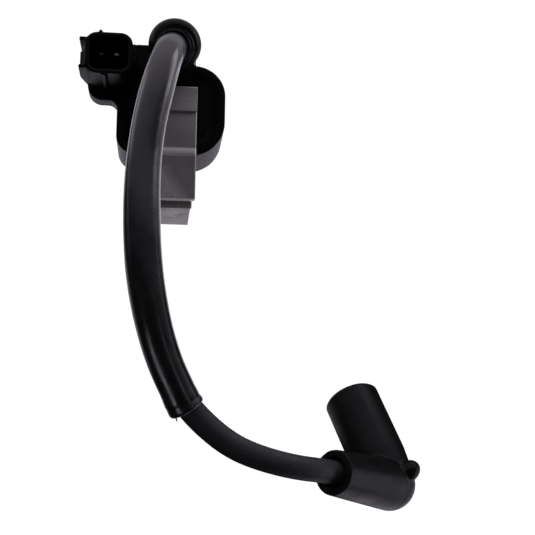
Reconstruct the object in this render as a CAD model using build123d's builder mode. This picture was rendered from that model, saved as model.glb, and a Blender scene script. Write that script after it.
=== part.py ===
from build123d import *

import math
import os

# Ignition coil of a small engine, lying on its back. Units are millimetres, +Z is up.
# The origin is on the housing's back face, under the middle of the core's width.
# +Y runs from the core's mounting end towards the tower, and +X from the connector across.

# Housing: an open cup, filled with potting compound
HOUSING_WIDTH = 37.0
HOUSING_NEAR_Y = -17.8
HOUSING_FAR_Y = 14.2
HOUSING_HEIGHT = 24.6
HOUSING_WALL = 2.8
HOUSING_FLOOR = 1.5
NEAR_RIGHT_CORNER = 12.2
FAR_RIGHT_CORNER = 10.6
NEAR_LEFT_CORNER = 6.5
RIM_FILLET = 0.5
SLAB_FILLET = 3.0
SHOULDER_X = 7.6
SHOULDER_Y = 21.0
POTTING_TOP = 23.9

# Tower, its rubber cap and its contact
TOWER_X = 0.5
TOWER_Y = 15.6
BOSS_RADIUS = 7.6
TOWER_RADIUS = 6.2
TOWER_BORE = 4.2
TOWER_TOP = 37.0
CONTACT_RADIUS = 2.6
CONTACT_BOTTOM = 19.0
SPIKE_RADIUS = 0.8
SPIKE_TOP = 34.0
CAP_BOTTOM = 26.2
CAP_SKIRT_RADIUS = 7.5
CAP_BULGE_RADIUS = 8.75
CAP_BULGE_Z = 40.0
COLLAR_RADIUS = 6.6

# Connector module
SLAB_LEFT = -28.6
SLAB_RIGHT = -12.6
SLAB_NEAR_Y = 0.6
SLAB_THICKNESS = 7.0
SLAB_CORNER = 5.0
SLAB_RIM_FILLET = 0.6
SOCKET_X = -21.0
SOCKET_Y = 11.3
SOCKET_WIDTH = 15.6
SOCKET_DEPTH = 14.0
SOCKET_CORNER = 4.0
SOCKET_WALL = 1.4
SOCKET_TOP = 41.6
SOCKET_FLOOR = 27.6
RIB_SPACING = 9.4
RIB_REACH = 1.9
RIB_WIDTH = 1.2
RAMP_BOTTOM = 33.0
RAMP_TOP = 38.6
RAMP_REACH = 2.1
RAMP_WIDTH = 5.8
PIN_SPACING = 5.0
PIN_Y = 11.9
PIN_TOP = 38.6
PIN_THICKNESS = 0.8
PIN_WIDTH = 1.2
TAIL_END_X = -9.5
LEAD_WIRE_RADIUS = 0.4

# Laminated core and the steel on top of it
CORE_WIDTH = 14.0
CORE_TOP = 32.6
CORE_FAR_Y = 2.0
FAR_LEG = 6.0
NEAR_BAR_Y = -37.9
NEAR_BAR_DEPTH = 11.0
NEAR_BAR_BOTTOM = 3.0
LEG_Z = 12.0
LEG_HEIGHT = 7.0
GAP = 0.5
BOLT_RADIUS = 3.2
BOLT_LOW_Z = 9.0
BOLT_SPACING = 17.0
RIVET_RADIUS = 1.5
RIVET_HEAD_RADIUS = 2.5
RIVET_HEAD_HEIGHT = 0.8
STRAP_WIDTH = 17.0
STRAP_THICKNESS = 2.0
STRAP_NEAR_Y = -35.5
BEAD_Y = -19.0
BEAD_HALF_WIDTH = 1.3
BEAD_HEIGHT = 0.35
CLIP_NEAR_Y = -5.5
CLIP_THICKNESS = 1.1

# Windings, as half sizes across the core's leg (x, z) at each layer
COIL_NEAR_Y = -14.6
COIL_FAR_Y = -4.4
PRIMARY_TUBE = (8.0, 4.5)
PRIMARY_WIRE = (9.7, 6.2)
SECONDARY_TUBE = (10.9, 7.4)
SECONDARY_WIRE = (12.9, 9.4)
SECONDARY_FLANGE = (13.6, 10.1)
SECTIONS = 3
FLANGE = 0.8
WINDING_CORNER = 0.9
JUMPER_RADIUS = 0.5

# High-tension lead and its protective sleeve
LEAD_DIAMETER = 7.8
CONDUCTOR_DIAMETER = 1.6
SLEEVE_DIAMETER = 11.1
SLEEVE_BORE = 9.1
ARC_SHARE = 0.45
SLEEVE_START = 6.6

# Plug boot: a square elbow between the lead and the spark plug
BOOT_ENTRY = Vector(52.8, -122.85, 45.9)
BOOT_IN = Vector(0.7207, -0.1410, -0.6788).normalized()
BOOT_OUT_HINT = Vector(-0.302, 0.834, -0.468)
BOOT_ENTRY_RADIUS = 7.1
BOOT_ELBOW_RADIUS = 8.6
BOOT_CORNER_RADIUS = 8.7
BOOT_SOCKET_RADIUS = 9.5
BOOT_RIM_CHAMFER = 1.2
TAB_RADIUS = 3.5
TAB_REACH = 11.3
MOUTH_RADIUS = 4.6
MOUTH_DEPTH = 1.5
BOOT_ENTRY_LENGTH = 31.2
BOOT_SOCKET_LENGTH = 35.2
PLUG_BORE_RADIUS = 6.3
PLUG_BORE_LENGTH = 18.5
CLIP_SEAT_RADIUS = 5.8
CLIP_SEAT_LENGTH = 6.5
PLUG_NUT_RADIUS = 3.1
CLIP_RADIUS = 4.0
CLIP_SLOT = 2.0
TERMINAL_RADIUS = 3.2
TERMINAL_POST_RADIUS = 2.4
TERMINAL_SEAT_RADIUS = 4.4
SWIVEL_GAP = 0.05
LEAD_INSERTION = 7.5
FERRULE_LENGTH = 6.0
STUD_RADIUS = 1.2
STUD_LENGTH = 6.0

BOOT_OUT = (BOOT_OUT_HINT - BOOT_IN * BOOT_OUT_HINT.dot(BOOT_IN)).normalized()
BOOT_SIDE = BOOT_IN.cross(BOOT_OUT)
BOOT_CORNER = BOOT_ENTRY + BOOT_IN * BOOT_ENTRY_LENGTH
BOOT_RIM = BOOT_CORNER + BOOT_OUT * BOOT_SOCKET_LENGTH

# The lead's route, from the tower's contact to just before the boot
ROUTE = [
    Vector(TOWER_X, TOWER_Y, 30.5),
    Vector(TOWER_X, TOWER_Y, 38.0),
    Vector(-0.7, 11.0, 49.5),
    Vector(-2.2, 4.5, 55.0),
    Vector(-4.5, -5.0, 58.0),
    Vector(-6.9, -17.5, 59.2),
    Vector(-8.3, -32.5, 60.3),
    Vector(-8.3, -48.5, 61.4),
    Vector(-7.1, -64.0, 62.0),
    Vector(-4.3, -78.5, 62.2),
    Vector(-0.6, -90.0, 61.4),
    Vector(4.2, -99.8, 60.3),
    Vector(10.0, -107.0, 58.9),
    Vector(19.3, -114.5, 57.0),
    Vector(28.5, -118.4, 55.8),
    Vector(40.0, -121.2, 53.6),
    BOOT_ENTRY - BOOT_IN * 3.5,
    BOOT_ENTRY + BOOT_IN * LEAD_INSERTION,
]
SLEEVE_LAST = 11  # the sleeve ends on the run that starts at this point
SLEEVE_SHARE = 0.56

os.makedirs("parts", exist_ok=True)


def write(part, name):
    """Labels a finished piece and writes it as its own file."""
    part.label = name
    export_step(part, "parts/" + name + ".step")


def corner_radii(points):
    """The largest arc for each corner of a route, as a share of its shorter run."""
    radii = []
    for before, here, after in zip(points, points[1:], points[2:]):
        half_turn = math.radians((here - before).get_angle(after - here)) / 2
        shorter = min((here - before).length, (after - here).length)
        radii.append(ARC_SHARE * shorter / math.tan(half_turn))
    return radii


def across(origin, direction, side=BOOT_SIDE):
    """A plane at a point, facing along a direction."""
    return Plane(origin=origin, x_dir=side, z_dir=direction)


RADII = corner_radii(ROUTE)
print("route radii", [round(r, 1) for r in RADII])
leg_length = NEAR_BAR_Y + NEAR_BAR_DEPTH
slab_bottom = HOUSING_HEIGHT - SLAB_THICKNESS
half_width = HOUSING_WIDTH / 2
far_leg_near_y = CORE_FAR_Y - FAR_LEG
rivet_places = [
    (NEAR_BAR_Y + NEAR_BAR_DEPTH / 2, BOLT_LOW_Z + BOLT_SPACING / 2),
    (CORE_FAR_Y - 12.0, CORE_TOP - 4.0),
    (CORE_FAR_Y - 3.6, CORE_TOP - 4.0),
]

# ---------------------------------------------------------------- laminated core
with BuildPart() as core_yoke:
    with BuildSketch(Plane.YZ):
        with Locations((NEAR_BAR_Y, NEAR_BAR_BOTTOM)):
            Rectangle(NEAR_BAR_DEPTH, CORE_TOP - NEAR_BAR_BOTTOM, align=Align.MIN)
        with Locations((NEAR_BAR_Y, HOUSING_HEIGHT)):
            Rectangle(CORE_FAR_Y - NEAR_BAR_Y, CORE_TOP - HOUSING_HEIGHT, align=Align.MIN)
        with Locations((far_leg_near_y, LEG_Z - LEG_HEIGHT / 2)):
            Rectangle(FAR_LEG, CORE_TOP - LEG_Z + LEG_HEIGHT / 2, align=Align.MIN)
        with Locations(rivet_places[0]):
            with GridLocations(0, BOLT_SPACING, 1, 2):
                Circle(BOLT_RADIUS, mode=Mode.SUBTRACT)
        with Locations(*rivet_places):
            Circle(RIVET_RADIUS, mode=Mode.SUBTRACT)
    extrude(amount=CORE_WIDTH / 2, both=True)
    low_corners = core_yoke.edges().filter_by(Axis.X).group_by(Axis.Z)[0]
    fillet(low_corners, 1.0)
write(core_yoke.part, "core_yoke")

with BuildPart() as core_bar:
    with BuildSketch(Plane.XZ.offset(-leg_length)):
        with Locations((0, LEG_Z)):
            Rectangle(CORE_WIDTH, LEG_HEIGHT)
    extrude(amount=-(far_leg_near_y - GAP - leg_length))
write(core_bar.part, "core_bar")

with BuildPart() as core_gap_spacer:
    with BuildSketch(Plane.XZ.offset(-far_leg_near_y)):
        with Locations((0, LEG_Z)):
            Rectangle(CORE_WIDTH, LEG_HEIGHT)
    extrude(amount=GAP)
write(core_gap_spacer.part, "core_gap_spacer")

# Rivets run across the stack, with a head on each side
with BuildPart() as core_rivets:
    with BuildSketch(Plane.YZ):
        with Locations(*rivet_places):
            Circle(RIVET_RADIUS)
    extrude(amount=CORE_WIDTH / 2, both=True)
    for side in (-1, 1):
        with BuildSketch(Plane.YZ.offset(side * CORE_WIDTH / 2)):
            with Locations(*rivet_places):
                Circle(RIVET_HEAD_RADIUS)
        extrude(amount=side * RIVET_HEAD_HEIGHT)
write(core_rivets.part, "core_rivets")

with BuildPart() as core_strap:
    with BuildSketch(Plane.XY.offset(CORE_TOP)):
        with Locations((0, (STRAP_NEAR_Y + CORE_FAR_Y) / 2)):
            Rectangle(STRAP_WIDTH, CORE_FAR_Y - STRAP_NEAR_Y)
    extrude(amount=STRAP_THICKNESS)
    fillet(core_strap.edges().filter_by(Axis.Z).group_by(Axis.Y)[0], 0.8)
    fillet(core_strap.edges().filter_by(Axis.X).group_by(Axis.Z)[-1].sort_by(Axis.Y)[0], 0.5)
    with BuildSketch(Plane.YZ):
        with Locations((BEAD_Y, CORE_TOP + STRAP_THICKNESS - 0.1)):
            Ellipse(BEAD_HALF_WIDTH, BEAD_HEIGHT + 0.1)
    extrude(amount=STRAP_WIDTH / 2 - 0.3, both=True)
write(core_strap.part, "core_strap")

# A thin clip lies over the strap's far end and hooks down behind the core
with BuildPart() as core_clip:
    with BuildSketch(Plane.YZ):
        with BuildLine():
            Polyline(
                (CLIP_NEAR_Y, CORE_TOP + STRAP_THICKNESS),
                (CORE_FAR_Y, CORE_TOP + STRAP_THICKNESS),
                (CORE_FAR_Y, HOUSING_HEIGHT),
                (CORE_FAR_Y + CLIP_THICKNESS, HOUSING_HEIGHT),
                (CORE_FAR_Y + CLIP_THICKNESS, CORE_TOP + STRAP_THICKNESS + CLIP_THICKNESS),
                (CLIP_NEAR_Y, CORE_TOP + STRAP_THICKNESS + CLIP_THICKNESS),
                close=True,
            )
        make_face()
    extrude(amount=STRAP_WIDTH / 2, both=True)
    outer_bend = core_clip.edges().filter_by(Axis.X).group_by(Axis.Z)[-1].sort_by(Axis.Y)[-1]
    fillet(outer_bend, 0.9)
write(core_clip.part, "core_clip")

# ---------------------------------------------------------------- windings
def tube_section(outer, inner):
    """A rounded rectangular ring round the core's leg, as half sizes across and up."""
    with Locations((0, LEG_Z)):
        RectangleRounded(2 * outer[0], 2 * outer[1], WINDING_CORNER)
        Rectangle(2 * inner[0], 2 * inner[1], mode=Mode.SUBTRACT)


leg_clearance = (CORE_WIDTH / 2 + 0.1, LEG_HEIGHT / 2 + 0.1)
coil_length = COIL_FAR_Y - COIL_NEAR_Y
with BuildPart() as primary_bobbin:
    with BuildSketch(Plane.XZ.offset(-COIL_NEAR_Y)):
        tube_section(PRIMARY_TUBE, leg_clearance)
    extrude(amount=-coil_length)
    for start in (COIL_NEAR_Y, COIL_FAR_Y - FLANGE):
        with BuildSketch(Plane.XZ.offset(-start)):
            tube_section(PRIMARY_WIRE, leg_clearance)
        extrude(amount=-FLANGE)
write(primary_bobbin.part, "primary_bobbin")

with BuildPart() as primary_winding:
    with BuildSketch(Plane.XZ.offset(-COIL_NEAR_Y - FLANGE)):
        with Locations((0, LEG_Z)):
            RectangleRounded(2 * PRIMARY_WIRE[0], 2 * PRIMARY_WIRE[1], WINDING_CORNER)
            RectangleRounded(
                2 * PRIMARY_TUBE[0], 2 * PRIMARY_TUBE[1], WINDING_CORNER, mode=Mode.SUBTRACT
            )
    extrude(amount=-(coil_length - 2 * FLANGE))
write(primary_winding.part, "primary_winding")

primary_clearance = (PRIMARY_WIRE[0] + 0.2, PRIMARY_WIRE[1] + 0.2)
section_pitch = (coil_length - FLANGE) / SECTIONS
with BuildPart() as secondary_bobbin:
    with BuildSketch(Plane.XZ.offset(-COIL_NEAR_Y)):
        tube_section(SECONDARY_TUBE, primary_clearance)
    extrude(amount=-coil_length)
    for i in range(SECTIONS + 1):
        with BuildSketch(Plane.XZ.offset(-COIL_NEAR_Y - i * section_pitch)):
            tube_section(SECONDARY_FLANGE, primary_clearance)
        extrude(amount=-FLANGE)
write(secondary_bobbin.part, "secondary_bobbin")

with BuildPart() as secondary_winding:
    for i in range(SECTIONS):
        with BuildSketch(Plane.XZ.offset(-COIL_NEAR_Y - i * section_pitch - FLANGE)):
            with Locations((0, LEG_Z)):
                RectangleRounded(2 * SECONDARY_WIRE[0], 2 * SECONDARY_WIRE[1], WINDING_CORNER)
                RectangleRounded(
                    2 * SECONDARY_TUBE[0], 2 * SECONDARY_TUBE[1], WINDING_CORNER, mode=Mode.SUBTRACT
                )
        extrude(amount=-(section_pitch - FLANGE))
write(secondary_winding.part, "secondary_winding")

# ---------------------------------------------------------------- electrical parts
connector_pins = []
for name, pin_x, tail_z, tail_y in (
    ("terminal_pin_a", SOCKET_X - PIN_SPACING / 2, 18.4, 5.0),
    ("terminal_pin_b", SOCKET_X + PIN_SPACING / 2, 21.4, 8.4),
):
    with BuildPart() as pin:
        with BuildSketch(Plane.XY.offset(tail_z)):
            with Locations((pin_x, PIN_Y)):
                Rectangle(PIN_WIDTH, PIN_THICKNESS)
        extrude(amount=PIN_TOP - tail_z)
        chamfer(pin.faces().sort_by(Axis.Z)[-1].edges().filter_by(Axis.X), 0.3)
        with BuildSketch(Plane.XY.offset(tail_z)):
            with Locations((pin_x, tail_y)):
                Rectangle(PIN_WIDTH, PIN_Y - tail_y, align=(Align.CENTER, Align.MIN))
            with Locations((pin_x - PIN_WIDTH / 2, tail_y)):
                Rectangle(TAIL_END_X - pin_x + PIN_WIDTH / 2, PIN_WIDTH, align=Align.MIN)
        extrude(amount=PIN_THICKNESS)
    write(pin.part, name)
    connector_pins.append((pin.part, Vector(TAIL_END_X - 0.4, tail_y + PIN_WIDTH / 2, tail_z)))


# The two ends of the primary winding run along the far leg to the pins' tails
with BuildPart() as primary_leads:
    for tail, winding_end in (
        (connector_pins[0][1], Vector(-9.0, COIL_FAR_Y, 14.5)),
        (connector_pins[1][1], Vector(-8.6, COIL_FAR_Y, 16.8)),
    ):
        with BuildSketch(Plane(origin=tail, z_dir=winding_end - tail)):
            Circle(LEAD_WIRE_RADIUS)
        extrude(amount=(winding_end - tail).length)
    add(primary_bobbin.part, mode=Mode.SUBTRACT)
    for pin_part, _ in connector_pins:
        add(pin_part, mode=Mode.SUBTRACT)
write(primary_leads.part, "primary_leads")

with BuildPart() as hv_terminal:
    with BuildSketch(Plane.XY.offset(CONTACT_BOTTOM)):
        with Locations((TOWER_X, TOWER_Y)):
            Circle(CONTACT_RADIUS)
    extrude(amount=ROUTE[0].Z - CONTACT_BOTTOM)
    with BuildSketch(Plane.XY.offset(ROUTE[0].Z)):
        with Locations((TOWER_X, TOWER_Y)):
            Circle(SPIKE_RADIUS)
    extrude(amount=SPIKE_TOP - ROUTE[0].Z)
write(hv_terminal.part, "hv_terminal")

# A bare wire joins the secondary winding's outer end to the tower's contact
jumper_points = [
    Vector(12.2, COIL_FAR_Y, 16.0),
    Vector(12.2, 6.0, 19.0),
    Vector(TOWER_X, TOWER_Y, 21.0),
]
with BuildPart() as hv_jumper:
    for start, end in zip(jumper_points, jumper_points[1:]):
        with BuildSketch(Plane(origin=start, z_dir=end - start)):
            Circle(JUMPER_RADIUS)
        extrude(amount=(end - start).length)
    with Locations(jumper_points[1]):
        Sphere(JUMPER_RADIUS)
    add(hv_terminal.part, mode=Mode.SUBTRACT)
    add(secondary_bobbin.part, mode=Mode.SUBTRACT)
write(hv_jumper.part, "hv_jumper")

# ---------------------------------------------------------------- connector module
with BuildPart() as connector_module:
    with BuildSketch(Plane.XY.offset(slab_bottom)):
        with BuildLine():
            Polyline(
                (SLAB_RIGHT, SLAB_NEAR_Y - SLAB_FILLET),
                (SLAB_RIGHT, SHOULDER_Y),
                (SLAB_LEFT, SHOULDER_Y),
                (SLAB_LEFT, SLAB_NEAR_Y),
                (-half_width - SLAB_FILLET, SLAB_NEAR_Y),
            )
            ThreePointArc(
                (-half_width - SLAB_FILLET, SLAB_NEAR_Y),
                (
                    -half_width - SLAB_FILLET * (1 - math.sqrt(0.5)),
                    SLAB_NEAR_Y - SLAB_FILLET * (1 - math.sqrt(0.5)),
                ),
                (-half_width, SLAB_NEAR_Y - SLAB_FILLET),
            )
            Line((-half_width, SLAB_NEAR_Y - SLAB_FILLET), (SLAB_RIGHT, SLAB_NEAR_Y - SLAB_FILLET))
        make_face()
        fillet(vertices().group_by(Axis.X)[0], SLAB_CORNER)
    extrude(amount=SLAB_THICKNESS)
    slab_rim = connector_module.faces().sort_by(Axis.Z)[-1].edges()
    fillet(slab_rim.filter_by(lambda e: e.center().X < SLAB_RIGHT - 1), SLAB_RIM_FILLET)
    with BuildSketch(Plane.XY.offset(HOUSING_HEIGHT)):
        with Locations((SOCKET_X, SOCKET_Y)):
            RectangleRounded(SOCKET_WIDTH, SOCKET_DEPTH, SOCKET_CORNER)
    extrude(amount=SOCKET_TOP - HOUSING_HEIGHT)
    # Guide ribs of the latch on the left, and the latch ramp between them
    socket_left = SOCKET_X - SOCKET_WIDTH / 2
    for rib_y in (SOCKET_Y - RIB_SPACING / 2, SOCKET_Y + RIB_SPACING / 2):
        with BuildSketch(Plane.XZ.offset(-rib_y)):
            with BuildLine():
                Polyline(
                    (socket_left + 1.0, HOUSING_HEIGHT - 0.5),
                    (socket_left - 0.3, HOUSING_HEIGHT - 0.5),
                    (socket_left - RIB_REACH, 31.0),
                    (socket_left - RIB_REACH, SOCKET_TOP - 0.4),
                    (socket_left + 1.0, SOCKET_TOP - 0.4),
                    close=True,
                )
            make_face()
        extrude(amount=RIB_WIDTH / 2, both=True)
    with BuildSketch(Plane.XZ.offset(-SOCKET_Y - RAMP_WIDTH / 2)):
        with BuildLine():
            Polyline(
                (socket_left + 0.2, RAMP_BOTTOM),
                (socket_left - RAMP_REACH, RAMP_BOTTOM),
                (socket_left + 0.2, RAMP_TOP),
                close=True,
            )
        make_face()
    extrude(amount=RAMP_WIDTH)
    # Key ribs on the near and far walls
    with BuildSketch(Plane.XY.offset(HOUSING_HEIGHT)):
        with Locations((SOCKET_X - 1.4, SOCKET_Y - SOCKET_DEPTH / 2)):
            Rectangle(1.6, 1.2)
        with Locations((SOCKET_X - 2.8, SOCKET_Y + SOCKET_DEPTH / 2)):
            Rectangle(1.0, 1.6)
    extrude(amount=SOCKET_TOP - HOUSING_HEIGHT)
    with BuildSketch(Plane.XY.offset(SOCKET_FLOOR)):
        with Locations((SOCKET_X, SOCKET_Y)):
            RectangleRounded(
                SOCKET_WIDTH - 2 * SOCKET_WALL,
                SOCKET_DEPTH - 2 * SOCKET_WALL,
                SOCKET_CORNER - SOCKET_WALL,
            )
    extrude(amount=SOCKET_TOP - SOCKET_FLOOR, mode=Mode.SUBTRACT)
    for pin_part, _ in connector_pins:
        add(pin_part, mode=Mode.SUBTRACT)
write(connector_module.part, "connector_module")

# ---------------------------------------------------------------- housing and potting
# The cup's outline and its pocket's, with big corners away from the connector
outlines = []
for inset in (0.0, HOUSING_WALL):
    east = half_width - inset
    north = HOUSING_FAR_Y - inset
    south = HOUSING_NEAR_Y + inset
    with BuildSketch() as outline:
        with BuildLine():
            Polyline((east, south), (east, north), (-east, north), (-east, south), close=True)
        make_face()
        far_right = outline.vertices().group_by(Axis.X)[-1].sort_by(Axis.Y)[-1]
        fillet(far_right, FAR_RIGHT_CORNER - inset)
        near_right = outline.vertices().group_by(Axis.X)[-1].sort_by(Axis.Y)[0]
        fillet(near_right, NEAR_RIGHT_CORNER - inset)
        near_left = outline.vertices().group_by(Axis.X)[0].sort_by(Axis.Y)[0]
        fillet(near_left, NEAR_LEFT_CORNER - inset)
    outlines.append(outline.sketch)
cup_outline, pocket_outline = outlines

inner_parts = [
    core_yoke.part,
    core_bar.part,
    core_gap_spacer.part,
    core_clip.part,
    primary_bobbin.part,
    primary_winding.part,
    secondary_bobbin.part,
    secondary_winding.part,
    primary_leads.part,
    hv_terminal.part,
    hv_jumper.part,
    connector_module.part,
    connector_pins[0][0],
    connector_pins[1][0],
]

with BuildPart() as housing:
    with BuildSketch():
        add(cup_outline)
    extrude(amount=HOUSING_HEIGHT)
    with BuildSketch():
        with Locations((SLAB_RIGHT, 0)):
            Rectangle(SHOULDER_X - SLAB_RIGHT, SHOULDER_Y, align=Align.MIN)
        with Locations((TOWER_X, TOWER_Y)):
            Circle(BOSS_RADIUS)
    extrude(amount=HOUSING_HEIGHT)
    fillet(housing.faces().sort_by(Axis.Z)[-1].edges(), RIM_FILLET)
    with BuildSketch(Plane.XY.offset(HOUSING_FLOOR)):
        add(pocket_outline)
        with Locations((TOWER_X, TOWER_Y)):
            Circle(BOSS_RADIUS, mode=Mode.SUBTRACT)
    extrude(amount=HOUSING_HEIGHT - HOUSING_FLOOR, mode=Mode.SUBTRACT)
    with BuildSketch(Plane.XY.offset(HOUSING_HEIGHT - 1.0)):
        with Locations((TOWER_X, TOWER_Y)):
            Circle(TOWER_RADIUS)
    extrude(amount=TOWER_TOP - HOUSING_HEIGHT + 1.0)
    with BuildSketch(Plane.XY.offset(ROUTE[0].Z)):
        with Locations((TOWER_X, TOWER_Y)):
            Circle(TOWER_BORE)
    extrude(amount=TOWER_TOP - ROUTE[0].Z, mode=Mode.SUBTRACT)
    for inner in inner_parts:
        add(inner, mode=Mode.SUBTRACT)
write(housing.part, "housing")

with BuildPart() as potting_compound:
    with BuildSketch(Plane.XY.offset(HOUSING_FLOOR)):
        add(pocket_outline)
        with Locations((TOWER_X, TOWER_Y)):
            Circle(BOSS_RADIUS, mode=Mode.SUBTRACT)
    extrude(amount=POTTING_TOP - HOUSING_FLOOR)
    for inner in inner_parts:
        add(inner, mode=Mode.SUBTRACT)
write(potting_compound.part, "potting_compound")

# ---------------------------------------------------------------- lead and sleeve
lead_plane = Plane(origin=ROUTE[0], z_dir=ROUTE[1] - ROUTE[0])
sleeve_direction = (ROUTE[2] - ROUTE[1]).normalized()
sleeve_start = ROUTE[1] + sleeve_direction * SLEEVE_START
sleeve_end = ROUTE[SLEEVE_LAST] + (ROUTE[SLEEVE_LAST + 1] - ROUTE[SLEEVE_LAST]) * SLEEVE_SHARE
sleeve_route = [sleeve_start] + ROUTE[2 : SLEEVE_LAST + 1] + [sleeve_end]
sleeve_plane = Plane(origin=sleeve_start, z_dir=sleeve_direction)
conductor_start = Vector(TOWER_X, TOWER_Y, SPIKE_TOP)

with BuildPart() as lead_conductor:
    with BuildLine() as conductor_line:
        FilletPolyline(conductor_start, *ROUTE[1:], radius=RADII)
    with BuildSketch(Plane(origin=conductor_start, z_dir=(0, 0, 1))):
        Circle(CONDUCTOR_DIAMETER / 2)
    sweep()
write(lead_conductor.part, "lead_conductor")

with BuildPart() as lead_jacket:
    with BuildLine() as lead_line:
        FilletPolyline(*ROUTE, radius=RADII)
    with BuildSketch(lead_plane):
        Circle(LEAD_DIAMETER / 2)
        Circle(CONDUCTOR_DIAMETER / 2, mode=Mode.SUBTRACT)
    sweep()
write(lead_jacket.part, "lead_jacket")

with BuildPart() as protective_sleeve:
    with BuildLine() as sleeve_line:
        FilletPolyline(*sleeve_route, radius=RADII[1:SLEEVE_LAST])
    with BuildSketch(sleeve_plane):
        Circle(SLEEVE_DIAMETER / 2)
        Circle(SLEEVE_BORE / 2, mode=Mode.SUBTRACT)
    sweep()
write(protective_sleeve.part, "protective_sleeve")

for name, line, area, part in (
    ("jacket", lead_line, LEAD_DIAMETER**2 - CONDUCTOR_DIAMETER**2, lead_jacket.part),
    ("sleeve", sleeve_line, SLEEVE_DIAMETER**2 - SLEEVE_BORE**2, protective_sleeve.part),
    ("conductor", conductor_line, CONDUCTOR_DIAMETER**2, lead_conductor.part),
):
    length = line.wires()[0].length
    print(name, "length", round(length, 1), "volume ratio", part.volume / (math.pi / 4 * area * length))

# ---------------------------------------------------------------- tower cap
with BuildPart() as tower_cap:
    with BuildSketch(Plane(origin=(TOWER_X, TOWER_Y, 0), x_dir=(1, 0, 0), z_dir=(0, -1, 0))):
        with BuildLine():
            skirt_foot = Line((TOWER_RADIUS, CAP_BOTTOM), (CAP_SKIRT_RADIUS, CAP_BOTTOM))
            skirt_side = Line(skirt_foot @ 1, (CAP_SKIRT_RADIUS, 33.4))
            flare = TangentArc(skirt_side @ 1, (CAP_BULGE_RADIUS, CAP_BULGE_Z), tangent=(0.25, 1.0))
            dome = Spline(flare @ 1, (8.1, 42.9), (5.4, 45.4), tangents=[(0, 1), (-1, 0.35)])
            Polyline(dome @ 1, (0, 45.9), (0, TOWER_TOP), (TOWER_RADIUS, TOWER_TOP), skirt_foot @ 0)
        make_face()
    revolve(axis=Axis((TOWER_X, TOWER_Y, 0), (0, 0, 1)))
    collar_plane = Plane(origin=sleeve_start - sleeve_direction * 2.5, z_dir=sleeve_direction)
    with BuildSketch(collar_plane):
        Circle(COLLAR_RADIUS)
    extrude(amount=4.2)
    fillet(tower_cap.edges().filter_by(GeomType.CIRCLE).sort_by(Axis.Z)[-1], 0.5)
    with BuildSketch(sleeve_plane):
        Circle(SLEEVE_DIAMETER / 2)
    extrude(amount=6.0, mode=Mode.SUBTRACT)
    with BuildLine():
        FilletPolyline(
            Vector(TOWER_X, TOWER_Y, TOWER_TOP - 4.0), ROUTE[1], sleeve_start, radius=RADII[0]
        )
    with BuildSketch(Plane.XY.offset(TOWER_TOP - 4.0)):
        with Locations((TOWER_X, TOWER_Y)):
            Circle(LEAD_DIAMETER / 2)
    sweep(mode=Mode.SUBTRACT)
write(tower_cap.part, "tower_cap")

# ---------------------------------------------------------------- plug boot
# In this plane x runs along the lead into the elbow, and y runs out of the plug socket
elbow_plane = Plane(origin=BOOT_CORNER, x_dir=BOOT_IN, z_dir=BOOT_SIDE)
lead_axis = Axis(BOOT_CORNER, BOOT_IN)
socket_axis = Axis(BOOT_CORNER, BOOT_OUT)
entry_x = -BOOT_ENTRY_LENGTH
ferrule_x = entry_x + LEAD_INSERTION
ferrule_end_x = ferrule_x + FERRULE_LENGTH
terminal_x = ferrule_end_x + 0.3
hole_end_x = ferrule_end_x + STUD_LENGTH + 0.5
hole_radius = STUD_RADIUS + SWIVEL_GAP
plug_bore_y = BOOT_SOCKET_LENGTH - PLUG_BORE_LENGTH
clip_y = plug_bore_y - CLIP_SEAT_LENGTH

with BuildPart() as lead_ferrule:
    with BuildSketch(elbow_plane):
        with BuildLine():
            Polyline(
                (ferrule_x, 0),
                (ferrule_x, LEAD_DIAMETER / 2),
                (ferrule_end_x, LEAD_DIAMETER / 2),
                (ferrule_end_x, STUD_RADIUS),
                (ferrule_end_x + STUD_LENGTH, STUD_RADIUS),
                (ferrule_end_x + STUD_LENGTH, 0),
                close=True,
            )
        make_face()
    revolve(axis=lead_axis)
write(lead_ferrule.part, "lead_ferrule")

with BuildPart() as elbow_terminal:
    with BuildSketch(elbow_plane):
        with BuildLine():
            Polyline(
                (terminal_x, 0),
                (terminal_x, TERMINAL_RADIUS),
                (TERMINAL_POST_RADIUS, TERMINAL_RADIUS),
                (TERMINAL_POST_RADIUS, 0),
                close=True,
            )
        make_face()
    revolve(axis=lead_axis)
    with BuildSketch(elbow_plane):
        with BuildLine():
            Polyline(
                (0, 0),
                (TERMINAL_POST_RADIUS, 0),
                (TERMINAL_POST_RADIUS, clip_y - 1.0),
                (TERMINAL_SEAT_RADIUS, clip_y - 1.0),
                (TERMINAL_SEAT_RADIUS, clip_y),
                (0, clip_y),
                close=True,
            )
        make_face()
    revolve(axis=socket_axis)
    with BuildSketch(elbow_plane):
        with BuildLine():
            Polyline(
                (terminal_x, 0),
                (terminal_x, hole_radius),
                (hole_end_x, hole_radius),
                (hole_end_x, 0),
                close=True,
            )
        make_face()
    revolve(axis=lead_axis, mode=Mode.SUBTRACT)
write(elbow_terminal.part, "elbow_terminal")

# A split spring ring that snaps over the plug's terminal nut
with BuildPart() as plug_clip:
    with BuildSketch(across(BOOT_CORNER + BOOT_OUT * clip_y, BOOT_OUT)):
        Circle(CLIP_RADIUS)
        Circle(PLUG_NUT_RADIUS, mode=Mode.SUBTRACT)
        with Locations((CLIP_RADIUS, 0)):
            Rectangle(CLIP_RADIUS, CLIP_SLOT, mode=Mode.SUBTRACT)
    extrude(amount=CLIP_SEAT_LENGTH)
write(plug_clip.part, "plug_clip")

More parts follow.
